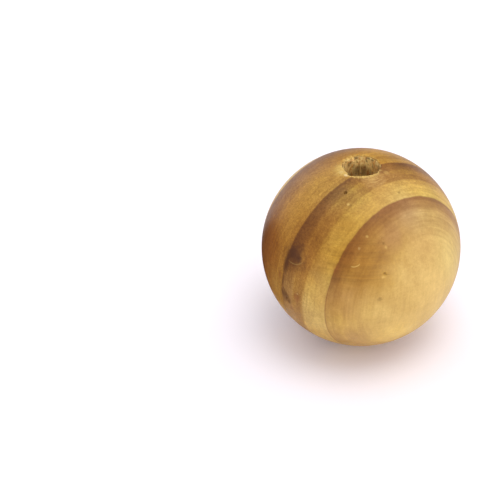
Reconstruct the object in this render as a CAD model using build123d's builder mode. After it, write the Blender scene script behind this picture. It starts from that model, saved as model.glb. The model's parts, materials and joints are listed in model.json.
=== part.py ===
"""A large turned wooden bead, drilled through along the grain.

The bead is one piece of wood: a ball turned on the axis of its bore, with a narrow flat land faced round
each mouth. The drill has torn fibre out of both rims, and a pin hole and a few small dents mark the side.
The origin is the centre of the ball, and the bore runs along Z. The bead stands on its lower land.
"""

import os
from math import cos, radians, sin, sqrt

from build123d import *

# Ball and bore, in millimetres
bead_diameter = 30.0
bore_diameter = 5.4
land_width = 0.5  # flat, unfinished ring round each mouth of the bore

# Torn mouths: fibre breaks away in a ragged funnel, deepest where it reaches furthest past the bore's wall
funnel_depth = 1.3  # from the land to the funnel's narrow end
funnel_narrowing = 0.25  # how far the funnel's narrow end lies inside the bore's wall
upper_tears = [  # bearing from +X in degrees, reach past the bore's wall in millimetres
    (0, 0.30),
    (26, 0.12),
    (48, 0.05),
    (64, 0.16),
    (80, 0.05),
    (104, 0.14),
    (122, 0.03),
    (150, 0.10),
    (168, 0.16),
    (196, 0.05),
    (220, 0.12),
    (240, 0.36),
    (258, 0.08),
    (282, 0.04),
    (302, 0.20),
    (324, 0.40),
    (342, 0.16),
]
lower_tears = [
    (0, 0.08),
    (24, 0.24),
    (46, 0.06),
    (70, 0.10),
    (92, 0.26),
    (112, 0.05),
    (140, 0.36),
    (162, 0.12),
    (190, 0.05),
    (214, 0.20),
    (238, 0.05),
    (262, 0.30),
    (284, 0.08),
    (310, 0.16),
    (336, 0.04),
]

# Marks on the side: bearing and height angle in degrees, radius of the ball that fits the mark, depth
side_marks = [
    (-111.0, 66.5, 0.26, 0.34),  # pin hole below the upper mouth
    (-76.0, 20.5, 0.34, 0.16),  # nick in the pale face
    (-79.7, 6.5, 0.60, 0.05),  # shallow dimple under the nick
    (-136.3, -6.0, 0.50, 0.08),  # pock in a dark stain
]

bead_radius = bead_diameter / 2
bore_radius = bore_diameter / 2
land_radius = bore_radius + land_width
land_height = sqrt(bead_radius**2 - land_radius**2)  # from the centre of the ball to each land

with BuildPart() as bead:
    # Half section of the drilled ball, turned round the bore's axis
    with BuildSketch(Plane.XZ) as half_section:
        with BuildLine():
            face_of_ball = ThreePointArc(
                (land_radius, -land_height),
                (bead_radius, 0),
                (land_radius, land_height),
            )
            Polyline(
                face_of_ball @ 1,
                (bore_radius, land_height),
                (bore_radius, -land_height),
                face_of_ball @ 0,
            )
        make_face()
    revolve(axis=Axis.Z)

    # Torn mouths: each ragged outline on its land narrows to a circle inside the bore
    for end, tears in ((1, upper_tears), (-1, lower_tears)):
        with BuildSketch(Plane.XY.offset(end * land_height)) as torn_outline:
            with BuildLine():
                outline_points = [
                    (
                        (bore_radius + reach) * cos(radians(bearing)),
                        (bore_radius + reach) * sin(radians(bearing)),
                    )
                    for bearing, reach in tears
                ]
                Spline(*outline_points, periodic=True)
            make_face()
        with BuildSketch(Plane.XY.offset(end * (land_height - funnel_depth))) as narrow_end:
            Circle(bore_radius - funnel_narrowing)
        loft([torn_outline.sketch, narrow_end.sketch], mode=Mode.SUBTRACT)

    # Pin hole, nick and dimples
    for bearing, height_angle, mark_radius, depth in side_marks:
        distance = bead_radius + mark_radius - depth
        across = distance * cos(radians(height_angle))
        mark_centre = (
            across * cos(radians(bearing)),
            across * sin(radians(bearing)),
            distance * sin(radians(height_angle)),
        )
        with Locations(mark_centre):
            Sphere(mark_radius, mode=Mode.SUBTRACT)

bead.part.label = "bead"

os.makedirs("parts", exist_ok=True)
export_step(bead.part, "parts/bead.step")
print(f"bead: {bead.part.volume:.1f} mm3, {len(bead.part.faces())} faces, {2 * land_height:.3f} mm between lands")
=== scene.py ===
# %% [markdown]
# # A turned wooden bead
#
# The real thing is a ball of softwood, turned on a lathe and drilled through along the grain. Broad growth
# rings cut across it, a thin satin finish covers its side, and the drill has left both mouths torn and
# bare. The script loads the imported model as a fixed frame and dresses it: one closed mesh for the wood,
# small torn fibres at the mouths, and one solid material that carries the rings through the whole ball.

# %% Load the frame
import json
from math import asin, cos, pi, radians, sin, sqrt

import bmesh
import bpy
import numpy as np
from mathutils import Euler, Matrix, Vector


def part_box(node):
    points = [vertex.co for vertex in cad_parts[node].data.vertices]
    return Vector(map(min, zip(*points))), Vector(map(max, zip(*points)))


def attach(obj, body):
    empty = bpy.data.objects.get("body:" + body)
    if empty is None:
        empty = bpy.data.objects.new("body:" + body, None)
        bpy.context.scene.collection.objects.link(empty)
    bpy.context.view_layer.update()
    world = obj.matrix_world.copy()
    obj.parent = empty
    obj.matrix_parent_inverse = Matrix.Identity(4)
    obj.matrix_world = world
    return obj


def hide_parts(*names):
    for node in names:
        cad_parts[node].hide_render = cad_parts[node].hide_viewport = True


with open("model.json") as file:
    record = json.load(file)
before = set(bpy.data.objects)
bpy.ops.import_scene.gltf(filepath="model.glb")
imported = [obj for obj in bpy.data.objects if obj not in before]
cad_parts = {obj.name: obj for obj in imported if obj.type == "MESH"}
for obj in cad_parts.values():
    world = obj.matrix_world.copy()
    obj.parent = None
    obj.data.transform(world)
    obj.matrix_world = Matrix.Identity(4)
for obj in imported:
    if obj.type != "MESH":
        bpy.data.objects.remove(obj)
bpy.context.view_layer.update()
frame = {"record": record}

# %% [markdown]
# ## Sizes from the frame
#
# Nothing is measured twice. The ball's radius and the height of its flat lands come from the CAD node's own
# box, and the bore's radius from the record's mount. Where the flat land meets the ball follows from those.

# %% Read the sizes
MM = 0.001
bead_low, bead_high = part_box("bead")
bore_mount = next(mount for mount in frame["record"]["mounts"] if mount["name"] == "bore")

ball_radius = (bead_high.x - bead_low.x) / 2
land_height = bead_high.z
land_radius = sqrt(ball_radius**2 - land_height**2)
bore_radius = bore_mount["dims"]["r_mm"] * MM
print(f"radii: ball {ball_radius / MM:.2f} mm, bore {bore_radius / MM:.2f} mm")
print(f"lands at {land_height / MM:.2f} mm")

# %% [markdown]
# ## The camera
#
# The photo looks down on the bead from a low desk height, and the bead sits right of the picture's middle.
# A camera could be shifted to frame it there, but a shift would follow into every other view. So the camera
# is aimed a little to the left of the bead instead, by the small turn that puts the bead's centre on its
# pixel.

# %% Aim the camera
PICTURE_WIDTH = 500
BEAD_CENTRE_PIXEL = (360.5, 246.9)
BEAD_RADIUS_PIXELS = 98.9
CAMERA_HEIGHT_ANGLE = radians(36.4)
RADIUS_OVER_DISTANCE = 0.07
SENSOR_WIDTH = 36.0
CLIP_START = 5.0 * MM


def add_object(name, data):
    """A new object in the scene, at the origin."""
    made = bpy.data.objects.new(name, data)
    bpy.context.scene.collection.objects.link(made)
    return made


camera_distance = ball_radius / RADIUS_OVER_DISTANCE
outline_slope = ball_radius / sqrt(camera_distance**2 - ball_radius**2)
focal_pixels = BEAD_RADIUS_PIXELS / outline_slope

camera_data = bpy.data.cameras.new("camera")
camera_data.sensor_width = SENSOR_WIDTH
camera_data.lens = focal_pixels * SENSOR_WIDTH / PICTURE_WIDTH
camera_data.clip_start = CLIP_START
camera = add_object("camera", camera_data)
bpy.context.scene.camera = camera

facing_bead = Euler((pi / 2 - CAMERA_HEIGHT_ANGLE, 0, 0)).to_matrix()
towards_pixel = Vector((
    BEAD_CENTRE_PIXEL[0] - PICTURE_WIDTH / 2,
    PICTURE_WIDTH / 2 - BEAD_CENTRE_PIXEL[1],
    -focal_pixels,
)).normalized()
small_turn = towards_pixel.rotation_difference(Vector((0, 0, -1))).to_matrix()
camera_place = facing_bead @ Vector((0, 0, camera_distance))
camera.matrix_world = Matrix.Translation(camera_place) @ (facing_bead @ small_turn).to_4x4()
print(f"lens {camera_data.lens:.1f} mm, {camera_distance / MM:.0f} mm from the bead")

# %% [markdown]
# ## The torn outline of each mouth
#
# A drill that comes out along the grain pulls fibre with it, so neither mouth is round. Each outline is a
# short list of bearings and of how far the break reaches past the bore's wall there, the same as in the
# solid. Between them the reach is blended with a smooth step, which needs no curve object. Along two
# stretches the upper rim isn't sharp either: it is rolled down into the bore.

# %% Describe the torn mouths
COLUMNS = 288
UPPER_TEARS = [  # bearing in degrees, reach past the bore's wall in millimetres
    (0, 0.30), (26, 0.12), (48, 0.05), (64, 0.16), (80, 0.05), (104, 0.14), (122, 0.03), (150, 0.10),
    (168, 0.16), (196, 0.05), (220, 0.12), (240, 0.36), (258, 0.08), (282, 0.04), (302, 0.20), (324, 0.40),
    (342, 0.16),
]
LOWER_TEARS = [
    (0, 0.08), (24, 0.24), (46, 0.06), (70, 0.10), (92, 0.26), (112, 0.05), (140, 0.36), (162, 0.12),
    (190, 0.05), (214, 0.20), (238, 0.05), (262, 0.30), (284, 0.08), (310, 0.16), (336, 0.04),
]
# Rolled stretches of the rim, in degrees: where each starts and ends, and over how much it rises and falls
BACK_ROLL, BACK_ROLL_RISE, BACK_ROLL_FALL = (113, 163), 4, 42
LEFT_ROLL, LEFT_ROLL_RISE, LEFT_ROLL_FALL = (180, 234), 12, 14
LEFT_ROLL_SHARE = 0.35


def smooth_step(share):
    share = np.clip(share, 0, 1)
    return share * share * (3 - 2 * share)


def tear_reach(tears, bearings):
    """Reach of the break past the bore's wall, in metres, at each bearing in degrees."""
    closed = tears + [(tears[0][0] + 360, tears[0][1])]
    reach = np.zeros_like(bearings)
    for (start, low), (end, high) in zip(closed, closed[1:]):
        inside = (bearings >= start) & (bearings < end)
        blend = smooth_step((bearings - start) / (end - start))
        reach = np.where(inside, low + (high - low) * blend, reach)
    return reach * MM


bearings = np.arange(COLUMNS) * 360 / COLUMNS
upper_reach = tear_reach(UPPER_TEARS, bearings)
lower_reach = tear_reach(LOWER_TEARS, bearings)

back_rise = smooth_step((bearings - BACK_ROLL[0]) / BACK_ROLL_RISE)
back_fall = np.clip((BACK_ROLL[1] - bearings) / BACK_ROLL_FALL, 0, 1)
left_rise = smooth_step((bearings - LEFT_ROLL[0]) / LEFT_ROLL_RISE)
left_fall = smooth_step((LEFT_ROLL[1] - bearings) / LEFT_ROLL_FALL)
upper_roll = back_rise * back_fall + LEFT_ROLL_SHARE * left_rise * left_fall
lower_roll = np.zeros(COLUMNS)
print(f"tears reach {upper_reach.max() / MM:.2f} mm above, {lower_reach.max() / MM:.2f} mm below")

# %% [markdown]
# ## Rows down a torn mouth
#
# Seen in section, a mouth goes from the land's outer edge across the land to the torn rim, and from there
# in a rounded slope down to the bore's wall. Where the break reaches further out, it also goes deeper, as
# torn fibre does. A row of points is given by a radius and a height for each bearing, so one function
# describes both ends.

# %% Lay out the rows of a mouth
FUNNEL_DEPTH = 1.3 * MM
FUNNEL_NARROWING = 0.25 * MM
LEAST_REACH = 0.03 * MM
LEAST_DEPTH = 0.25 * MM
ROLL_DROP = 0.35 * MM
ROLL_INWARDS = 0.80 * MM
ROLL_ROUNDING = 1.5
FUNNEL_ROUNDING = 0.7
LAND_ROWS = 7
FUNNEL_ROWS = 18


def mouth_rows(end, reach, roll):
    """Radius and height of a mouth's rows, from the land's outer edge inwards. end is 1 above, -1 below."""
    made = []
    rim_radius = bore_radius + reach - roll * ROLL_INWARDS
    for share in np.arange(1, LAND_ROWS + 1) / LAND_ROWS:
        drop = roll * ROLL_DROP * smooth_step(share) ** ROLL_ROUNDING
        made.append((land_radius + (rim_radius - land_radius) * share, end * (land_height - drop)))
    depth = FUNNEL_DEPTH * (reach + LEAST_REACH) / (reach + FUNNEL_NARROWING) + LEAST_DEPTH
    for share in np.arange(1, FUNNEL_ROWS + 1) / FUNNEL_ROWS:
        radius = rim_radius + (bore_radius - rim_radius) * share**FUNNEL_ROUNDING
        made.append((radius, end * (land_height - roll * ROLL_DROP - depth * share)))
    return made


upper_rows = mouth_rows(1, upper_reach, upper_roll)
lower_rows = mouth_rows(-1, lower_reach, lower_roll)
print(f"{len(upper_rows)} rows in each mouth")

# %% [markdown]
# ## The ball, land and bore as one closed skin
#
# The bead could be a sphere with a hole cut by a boolean, but that leaves long thin faces just where the
# eye looks, at the mouth. Turning it as a lathe does is cleaner: rows go down the ball, across the lower
# land, up the bore and out over the upper land. They close on themselves, so the skin is a ring of quads
# with no pole and no seam. Rows lie close together near the mouths and wide apart in the middle of the
# ball.

# %% Place the rows of the ball and the bore
BALL_GAPS = (0.075 * MM, 0.30 * MM)
WALL_GAPS = (0.10 * MM, 0.60 * MM)
GAP_GROWTH = 1.12


def graded(length, fine, coarse):
    """Places from 0 to length, close together at both ends and wider apart between."""
    gaps, gap = [], fine
    while sum(gaps) * 2 < length:
        gaps.append(gap)
        gap = min(gap * GAP_GROWTH, coarse)
    places = np.cumsum([0] + gaps + gaps[::-1])
    return places * length / places[-1]


mouth_angle = asin(land_radius / ball_radius)
ball_arc = ball_radius * (pi - 2 * mouth_angle)
ball_angles = mouth_angle + graded(ball_arc, *BALL_GAPS) / ball_radius
ball_rows = [(ball_radius * sin(angle), ball_radius * cos(angle)) for angle in ball_angles]
wall_low, wall_high = lower_rows[-1][1], upper_rows[-1][1]
wall_shares = graded(2 * land_height, *WALL_GAPS)[1:-1] / (2 * land_height)
wall_rows = [(bore_radius, wall_low + (wall_high - wall_low) * share) for share in wall_shares]
print(f"{len(ball_rows)} rows down the ball, {len(wall_rows)} up the bore")

# %% [markdown]
# ## Turning the rows
#
# Each row becomes a ring of points, one for each bearing. Every point is then joined to its neighbour in
# the row and to the two in the next row, always the same way round, so all faces point outwards. The last
# row is joined to the first.

# %% Turn the rows
turned = []
for radius, height in ball_rows + lower_rows + wall_rows + upper_rows[::-1]:
    radius, height = np.broadcast_to(radius, COLUMNS), np.broadcast_to(height, COLUMNS)
    turned.append(np.stack([
        radius * np.cos(np.radians(bearings)),
        radius * np.sin(np.radians(bearings)),
        height,
    ], axis=1))
row_count = len(turned)
corner = np.arange(row_count * COLUMNS).reshape(row_count, COLUMNS)
below, beside = np.roll(corner, -1, axis=0), np.roll(corner, -1, axis=1)
quads = np.stack([corner, below, np.roll(below, -1, axis=1), beside], axis=-1).reshape(-1, 4)

bead_mesh = bpy.data.meshes.new("bead_wood")
bead_mesh.from_pydata(np.concatenate(turned).tolist(), [], quads.tolist())
bead = add_object("bead_wood", bead_mesh)
print(f"skin: {row_count} rows of {COLUMNS} quads, {2 * len(quads)} triangles")

# %% [markdown]
# ## The pin hole, the nick and the dimples
#
# These marks are smaller than the skin's quads, so the quads round each one are split first, and then every
# point that lies inside the mark is pushed in as far as a small ball pressed there would push it. The
# places are bearings and height angles on the bead, as in the solid.

# %% Press the marks in
SIDE_MARKS = [  # bearing, height angle, radius of the ball that fits the mark and depth in millimetres
    (-111.0, 66.5, 0.26, 0.34),  # pin hole below the upper mouth
    (-76.0, 20.5, 0.34, 0.16),  # nick in the pale face
    (-79.7, 6.5, 0.60, 0.05),  # shallow dimple under the nick
    (-136.3, -6.0, 0.50, 0.08),  # pock in a dark stain
]
SPLIT_RADIUS, ROUNDED_RADIUS = 0.75 * MM, 1.20 * MM
SPLIT_CUTS = 3


def on_ball(bearing, height_angle):
    """Unit vector from the bead's centre through a place on its side."""
    bearing, height_angle = radians(bearing), radians(height_angle)
    return Vector((cos(height_angle) * cos(bearing), cos(height_angle) * sin(bearing), sin(height_angle)))


skin = bmesh.new()
skin.from_mesh(bead_mesh)
for bearing, height_angle, mark_radius, mark_depth in SIDE_MARKS:
    outwards = on_ball(bearing, height_angle)
    middle = outwards * ball_radius
    near = [face for face in skin.faces if (face.calc_center_median() - middle).length < SPLIT_RADIUS]
    edges = list({edge for face in near for edge in face.edges})
    bmesh.ops.subdivide_edges(skin, edges=edges, cuts=SPLIT_CUTS, use_grid_fill=True)
    mark_radius, mark_depth = mark_radius * MM, mark_depth * MM
    pressed = 0
    for vert in skin.verts:
        if (vert.co - middle).length > ROUNDED_RADIUS:
            continue
        vert.co = vert.co.normalized() * ball_radius
        aside = (vert.co - outwards * vert.co.dot(outwards)).length
        sink = mark_depth - mark_radius + sqrt(max(mark_radius**2 - aside**2, 0))
        if aside < mark_radius and sink > 0:
            vert.co -= outwards * sink
            pressed += 1
    print(f"mark at {bearing} degrees: {pressed} points pressed in")
bmesh.ops.triangulate(skin, faces=[face for face in skin.faces if len(face.verts) > 4])
skin.to_mesh(bead_mesh)
skin.free()

# %% [markdown]
# ## Building node trees in script
#
# Both the relief of the torn wood and its material are node trees. A few small helpers keep them readable:
# one adds a node with its settings and inputs, where an input may be a value or another node's output.


# %% Helpers for node trees
def set_socket(tree, socket, value):
    """Links a node's input to another node's output, or sets it to a plain value."""
    if isinstance(value, bpy.types.NodeSocket):
        tree.links.new(value, socket)
    else:
        socket.default_value = value


def add_node(tree, kind, inputs=None, **settings):
    node = tree.nodes.new(kind)
    for name, value in settings.items():
        setattr(node, name, value)
    for name, value in (inputs or {}).items():
        set_socket(tree, node.inputs[name], value)
    return node


# %% [markdown]
# ## Steps of arithmetic
#
# Numbers and vectors have a node each for a step of arithmetic. Adding, subtracting and multiplying are
# needed so often that each has a word of its own.


# %% Helpers for numbers and vectors
def arithmetic(tree, operation, *values, clamp=False):
    inputs = dict(enumerate(values))
    return add_node(tree, "ShaderNodeMath", inputs, operation=operation, use_clamp=clamp).outputs[0]


def plus(tree, total, *values):
    for value in values:
        total = arithmetic(tree, "ADD", total, value)
    return total


def minus(tree, first, second):
    return arithmetic(tree, "SUBTRACT", first, second)


def times(tree, product, *values):
    for value in values:
        product = arithmetic(tree, "MULTIPLY", product, value)
    return product


def vectors(tree, operation, *values):
    """One step of vector arithmetic. Its result is a vector, or a number for DOT_PRODUCT and LENGTH."""
    node = add_node(tree, "ShaderNodeVectorMath", operation=operation)
    for position, value in enumerate(values):
        socket = node.inputs["Scale"] if operation == "SCALE" and position == 1 else node.inputs[position]
        set_socket(tree, socket, value)
    return node.outputs["Value" if operation in ("DOT_PRODUCT", "LENGTH") else "Vector"]


def vector_of(tree, *parts):
    return add_node(tree, "ShaderNodeCombineXYZ", dict(enumerate(parts))).outputs[0]


def parts_of(tree, vector):
    return add_node(tree, "ShaderNodeSeparateXYZ", {0: vector}).outputs


# %% [markdown]
# ## Smooth changes and noise
#
# Almost everything on the bead fades: a stain into the wood, a tear into the bore. So a smooth change from
# one value to another is the step used most, and noise makes it ragged. Noise goes from 0 to 1, and where
# it should push both ways its middle is taken off.


# %% Helpers for patterns
def ease(tree, value, start, end, low=0.0, high=1.0):
    """Goes smoothly from low to high as value goes from start to end, and stays there outside."""
    inputs = {"Value": value, 1: start, 2: end, 3: low, 4: high}
    return add_node(tree, "ShaderNodeMapRange", inputs, interpolation_type="SMOOTHSTEP").outputs[0]


def noise(tree, vector, scale, detail=2.0, roughness=0.5, distortion=0.0):
    """Soft random pattern, about 0 to 1 with a middle of 0.5."""
    return add_node(tree, "ShaderNodeTexNoise", {
        "Vector": vector,
        "Scale": scale,
        "Detail": detail,
        "Roughness": roughness,
        "Distortion": distortion,
    }, noise_dimensions="3D").outputs[0]


def swing(tree, *noise_inputs):
    """A noise that swings both ways round 0."""
    return minus(tree, noise(tree, *noise_inputs), 0.5)


# %% [markdown]
# ## Relief of the torn wood
#
# Inside the bore the drill has dragged fibre up and down, so the wall is ridged along the grain, and at the
# mouths the break is crumbly. Neither repeats, but both follow a rule: how deep a point lies below the land
# and how far it is from the axis say how rough it is. So Geometry Nodes move the skin's points along their
# normals by noise. This cell starts the tree and finds where each point lies.

# %% Start the relief tree
RELIEF_INPUTS = {
    "Ridge height": 0.060 * MM,
    "Ridge width": 0.22 * MM,
    "Crumb height": 0.24 * MM,
    "Crumb size": 0.30 * MM,
    "Unevenness of the ball": 0.03 * MM,
}


def new_geometry_tree(name, numbers):
    tree = bpy.data.node_groups.new(name, "GeometryNodeTree")
    tree.is_modifier = True
    tree.interface.new_socket("Geometry", in_out="INPUT", socket_type="NodeSocketGeometry")
    tree.interface.new_socket("Geometry", in_out="OUTPUT", socket_type="NodeSocketGeometry")
    for label in numbers:
        tree.interface.new_socket(label, in_out="INPUT", socket_type="NodeSocketFloat")
    return tree, tree.nodes.new("NodeGroupInput"), tree.nodes.new("NodeGroupOutput")


def flattened(tree, place):
    """The part of a place that lies across the bore."""
    return vectors(tree, "MULTIPLY", place, (1, 1, 0))


def depth_below(tree, place, land):
    """Depth below the nearer land."""
    return minus(tree, land, arithmetic(tree, "ABSOLUTE", parts_of(tree, place)[2]))


relief, relief_in, relief_out = new_geometry_tree("torn_wood_relief", RELIEF_INPUTS)
at = add_node(relief, "GeometryNodeInputPosition").outputs[0]
from_axis = vectors(relief, "LENGTH", flattened(relief, at))
below_land = depth_below(relief, at, land_height)
outwards = vectors(relief, "NORMALIZE", flattened(relief, at))

# %% [markdown]
# ## Ridges, crumbs and an uneven ball
#
# The noise is stretched along the bore for the ridges and left round for the crumbs, which are strongest at
# the back of the mouth. The ball itself was sanded by hand, so very slow noise makes it a little uneven.
# Each of the three fades out by smooth steps where it doesn't belong.

# %% Shape the relief
GRAIN_STRETCH = 0.07
CRUMBLY_SIDE = radians(60)
CRUMBS_IN_FRONT = 0.60
UNEVEN_WAVE = 11 * MM

in_bore = ease(relief, from_axis, bore_radius + 0.45 * MM, bore_radius + 0.10 * MM)
under_rim = ease(relief, below_land, 0.02 * MM, 0.35 * MM)
along_bore = vectors(relief, "MULTIPLY", at, (1, 1, GRAIN_STRETCH))
ridge_scale = arithmetic(relief, "DIVIDE", 1.0, relief_in.outputs["Ridge width"])
ridges = times(relief, swing(relief, along_bore, ridge_scale, 3.0, 0.6), relief_in.outputs["Ridge height"])
ridges = times(relief, ridges, times(relief, in_bore, under_rim))

near_mouth = ease(relief, below_land, 2.6 * MM, 0.6 * MM)
round_rim = ease(relief, from_axis, land_radius - 0.03 * MM, bore_radius + 0.12 * MM)
crumb_scale = arithmetic(relief, "DIVIDE", 1.0, relief_in.outputs["Crumb size"])
crumbs = times(relief, swing(relief, at, crumb_scale, 4.0, 0.65), relief_in.outputs["Crumb height"])
crumbs = times(relief, crumbs, times(relief, near_mouth, round_rim))
facing_back = vectors(relief, "DOT_PRODUCT", outwards, (cos(CRUMBLY_SIDE), sin(CRUMBLY_SIDE), 0))
crumbs = times(relief, crumbs, ease(relief, facing_back, -0.4, 0.5, CRUMBS_IN_FRONT, 1.0))

off_mouth = ease(relief, from_axis, land_radius + 0.2 * MM, land_radius + 2.5 * MM)
uneven = swing(relief, at, 1 / UNEVEN_WAVE, 1.0, 0.4)
uneven = times(relief, uneven, relief_in.outputs["Unevenness of the ball"], off_mouth)
print(f"relief: {len(relief.nodes)} nodes so far")

# %% [markdown]
# ## From a modifier to a plain mesh
#
# The tree moves the points and smooths the shading. It makes no instances, so nothing has to be realised,
# and the bead gets its material later. The export wants plain meshes, so the modifier is set, evaluated once
# and removed, and the result becomes the bead's own mesh.


# %% Apply the relief
def apply_tree(piece, node_tree, numbers):
    """Runs a Geometry Nodes tree on a piece and keeps the result as its plain mesh."""
    modifier = piece.modifiers.new(node_tree.name, "NODES")
    modifier.node_group = node_tree
    # A modifier's inputs go by the identifier of the tree's socket, not by its label
    for item in node_tree.interface.items_tree:
        if item.in_out == "INPUT" and item.name in numbers:
            modifier[item.identifier] = numbers[item.name]
    evaluated = piece.evaluated_get(bpy.context.evaluated_depsgraph_get())
    plain_mesh = bpy.data.meshes.new_from_object(evaluated)
    piece.modifiers.remove(modifier)
    piece.data = plain_mesh
    print(f"{piece.name}: {len(plain_mesh.polygons)} faces")


# A noise swings by half, so doubling the sum gives the heights that the inputs name
rise = times(relief, plus(relief, ridges, crumbs, uneven), 2.0)
normal = add_node(relief, "GeometryNodeInputNormal").outputs[0]
offset = vectors(relief, "SCALE", normal, rise)
moved = add_node(relief, "GeometryNodeSetPosition", {
    "Geometry": relief_in.outputs["Geometry"],
    "Offset": offset,
})
smooth = add_node(relief, "GeometryNodeSetShadeSmooth", {"Geometry": moved.outputs[0]})
relief.links.new(smooth.outputs[0], relief_out.inputs[0])
apply_tree(bead, relief, RELIEF_INPUTS)

# %% [markdown]
# ## The wood
#
# A picture wrapped on the ball would smear at the mouths. Real wood is solid: the rings are tubes round the
# tree's pith, and the ball and its bore are cut out of them. So the material works from object coordinates
# in millimetres. The pith runs outside the bead, some 60 mm from its centre and almost along the bore. A
# point's distance from the pith gives its place in the ramp of ring colours: each year starts pale, darkens
# slowly, and ends in a sharp dark line.

# %% Start the material and find each point's place in the tree
PITH = Vector((35.0, -48.0, 0.0))
GRAIN = Vector((0.13, -0.05, 1.0)).normalized()
TANGENT = Vector((0.808, 0.589, 0.0))
BALL, LAND, BORE = ball_radius / MM, land_radius / MM, bore_radius / MM
LAND_TOP = land_height / MM


def new_material(name):
    """A material and its empty node tree."""
    material = bpy.data.materials.new(name)
    material.use_nodes = True
    material.node_tree.nodes.clear()
    return material, material.node_tree


def place_in_mm(tree):
    return vectors(tree, "SCALE", add_node(tree, "ShaderNodeTexCoord").outputs["Object"], 1 / MM)


wood, tree = new_material("satin_softwood")
place = place_in_mm(tree)
from_pith = vectors(tree, "SUBTRACT", place, PITH)
along_grain = vectors(tree, "DOT_PRODUCT", from_pith, GRAIN)
across = vectors(tree, "SUBTRACT", from_pith, vectors(tree, "SCALE", GRAIN, along_grain))
pith_distance = vectors(tree, "LENGTH", across)
sideways = vectors(tree, "DOT_PRODUCT", place, TANGENT)

# %% [markdown]
# ## Rings that lean, bow and waver
#
# A trunk isn't a perfect tube. The inner ring leans and bows a little along the grain, the outer one bows
# more, and all of them waver as neighbouring fibres grew at different speeds. Each is a small shift of the
# distance from the pith, in millimetres.

# %% Shift the rings
INNER_LEAN_ALONG, INNER_LEAN_ACROSS = 0.015, 0.016
INNER_BOW, OUTER_BOW = -0.0025, -0.0055
OUTER_BOW_FOOT = -3.0
SLOW_WAVER, QUICK_WAVER = 0.35, 0.22
GRAIN_SQUEEZE = (1, 1, 0.3)

lean = plus(tree, times(tree, along_grain, INNER_LEAN_ALONG), times(tree, sideways, INNER_LEAN_ACROSS))
lean = plus(tree, lean, times(tree, along_grain, along_grain, INNER_BOW))
from_foot = minus(tree, along_grain, OUTER_BOW_FOOT)
bow = times(tree, from_foot, from_foot, OUTER_BOW)
lean = times(tree, lean, ease(tree, pith_distance, 54.6, 52.6))
bow = times(tree, bow, ease(tree, pith_distance, 56.5, 59.3))

grain_place = vectors(tree, "MULTIPLY", place, GRAIN_SQUEEZE)
slow_waver = times(tree, swing(tree, grain_place, 0.16, 1.0), SLOW_WAVER)
quick_waver = times(tree, swing(tree, grain_place, 0.9, 3.0), QUICK_WAVER)
ring_place = minus(tree, pith_distance, plus(tree, lean, bow, slow_waver, quick_waver))

# %% [markdown]
# ## The colour of each ring
#
# The ramp runs outwards from the side nearest the pith. Colours are written as they look in daylight, in
# ordinary hexadecimal, and turned into the linear values that a shader needs. A pair of stops close
# together makes the sharp end of a year's growth, and stops far apart make its slow darkening.

# %% Ramp of ring colours
RING_COLOURS = [  # distance from the pith in millimetres, colour
    (44.4, "CEAA66"),  # the pale face
    (45.8, "CCA864"),
    (47.2, "C39D5C"),
    (48.5, "B68D50"),
    (50.3, "AE8248"),
    (51.0, "9E6F3A"),  # its dark line
    (51.6, "936331"),
    (52.40, "88572A"),
    (52.58, "C3994C"),  # the next year, pale at first
    (53.2, "C49A4B"),
    (54.9, "BB8F44"),
    (55.3, "B78A40"),
    (55.6, "A17232"),  # its broad brown band
    (56.4, "9A6A2E"),
    (57.4, "9E6F31"),
    (58.05, "885A28"),
    (58.8, "825526"),
    (59.88, "784B1E"),
    (60.06, "AA7A33"),  # the outer year
    (61.0, "AF8035"),
    (63.0, "AB7B34"),
    (64.2, "A37233"),
    (65.6, "8F6030"),
    (67.4, "7C4F2A"),
    (69.0, "6E4326"),
    (69.3, "B48C50"),  # the last year, only at the back
    (71.5, "A87F46"),
    (75.0, "9A6F3E"),
]
FIRST_RING, LAST_RING = RING_COLOURS[0][0], RING_COLOURS[-1][0]


def linear_hex(hexadecimal):
    """A colour as written in hexadecimal, turned into linear red, green, blue and alpha."""
    shares = [int(hexadecimal[i:i + 2], 16) / 255 for i in (0, 2, 4)]
    return (*[s / 12.92 if s <= 0.04045 else ((s + 0.055) / 1.055) ** 2.4 for s in shares], 1.0)


def colour_ramp(tree, share, stops, interpolation="LINEAR"):
    """A ramp of colours over a share from 0 to 1. Each stop is a position and a colour."""
    node = add_node(tree, "ShaderNodeValToRGB", {"Fac": share})
    node.color_ramp.interpolation = interpolation
    made = node.color_ramp.elements
    while len(made) < len(stops):
        made.new(0.5)
    for stop, (position, colour) in zip(made, stops):
        stop.position = position
        stop.color = colour
    return node.outputs["Color"]


ramp_length = LAST_RING - FIRST_RING
ring_stops = []
for distance, hexadecimal in RING_COLOURS:
    ring_stops.append(((distance - FIRST_RING) / ramp_length, linear_hex(hexadecimal)))
ring_share = times(tree, minus(tree, ring_place, FIRST_RING), 1 / ramp_length)
ring_colour = colour_ramp(tree, ring_share, ring_stops)
print(f"{len(ring_stops)} ring colours over {ramp_length:.1f} mm")

# %% [markdown]
# ## Years that change along the grain
#
# The dark end of the innermost year is broad and strong halfway up the bead, and fades to almost nothing
# near its foot, as it would where the tree grew more slowly on one side. The outer dark line fades there
# too. The pale year between them is painted paler there, as light from the floor would lift it. So below
# a certain height each of the three is mixed towards another colour.

# %% Fade and pale the rings towards the foot
FADED_INNER, FADED_OUTER, PAINTED_FLOOR_LIGHT = linear_hex("BA8F49"), linear_hex("AE8048"), linear_hex("C8A464")
# Distances from the pith where a change sets in and where it wanes, places along the grain where it starts
# and is full, its strength and its colour
CHANGING_YEARS_AND_FOOT_LIGHT = [
    ((49.3, 51.0), (52.34, 52.44), (-1.0, -8.0), 0.74, FADED_INNER),
    ((57.2, 57.8), (59.75, 59.94), (-3.0, -8.0), 0.62, FADED_OUTER),
    # the pale year painted paler towards the foot, as light from the floor
    ((52.35, 52.60), (55.2, 55.8), (0.0, -10.0), 0.50, PAINTED_FLOOR_LIGHT),
]


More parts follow.
